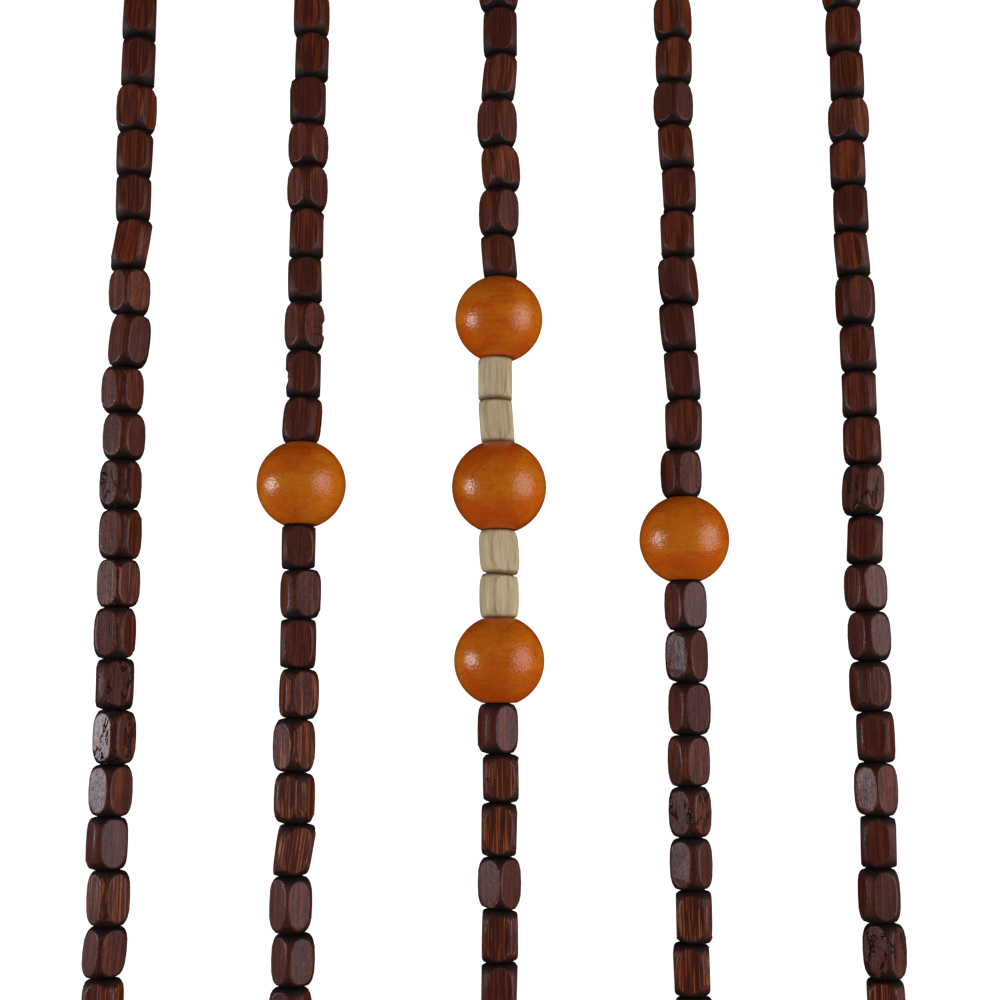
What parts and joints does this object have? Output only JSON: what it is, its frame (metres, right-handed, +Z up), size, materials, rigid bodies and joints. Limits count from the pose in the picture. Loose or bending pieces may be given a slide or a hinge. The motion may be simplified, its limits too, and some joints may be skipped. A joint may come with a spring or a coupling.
{
  "type": "bead curtain",
  "caption": "Cut length of hanging bead curtain: strands of faceted dark and cream bamboo beads with orange wooden balls on a narrow heading tape.",
  "frame": {"origin": "middle of the heading tape's top edge", "axes": "+Z up along the strands, +X to the right along the heading, front of the curtain faces -Y"},
  "size_m": [0.16, 0.017, 0.253],
  "materials": {
    "dark_bamboo": "dark red-brown stained bamboo, satin varnish, fine fibre streaks",
    "cream_bamboo": "natural pale bamboo, matt, fine brown streaks",
    "orange_lacquer": "turned wood, orange semi-gloss lacquer, mottled",
    "cotton": "woven brown cotton tape and twisted cord"
  },
  "bodies": {
    "root": {"heading_and_cords": "cotton", "strand_1_dark_beads_1": "dark_bamboo", "strand_2_dark_beads_1": "dark_bamboo", "strand_2_ball_1": "orange_lacquer", "strand_2_dark_beads_2": "dark_bamboo", "strand_3_dark_beads_1": "dark_bamboo", "strand_3_ball_1": "orange_lacquer", "strand_3_cream_bead_1": "cream_bamboo", "strand_3_cream_bead_2": "cream_bamboo", "strand_3_ball_2": "orange_lacquer", "strand_3_cream_bead_3": "cream_bamboo", "strand_3_cream_bead_4": "cream_bamboo", "strand_3_ball_3": "orange_lacquer", "strand_3_dark_beads_2": "dark_bamboo", "strand_4_dark_beads_1": "dark_bamboo", "strand_4_ball_1": "orange_lacquer", "strand_4_dark_beads_2": "dark_bamboo", "strand_5_dark_beads_1": "dark_bamboo"}
  },
  "joints": []
}
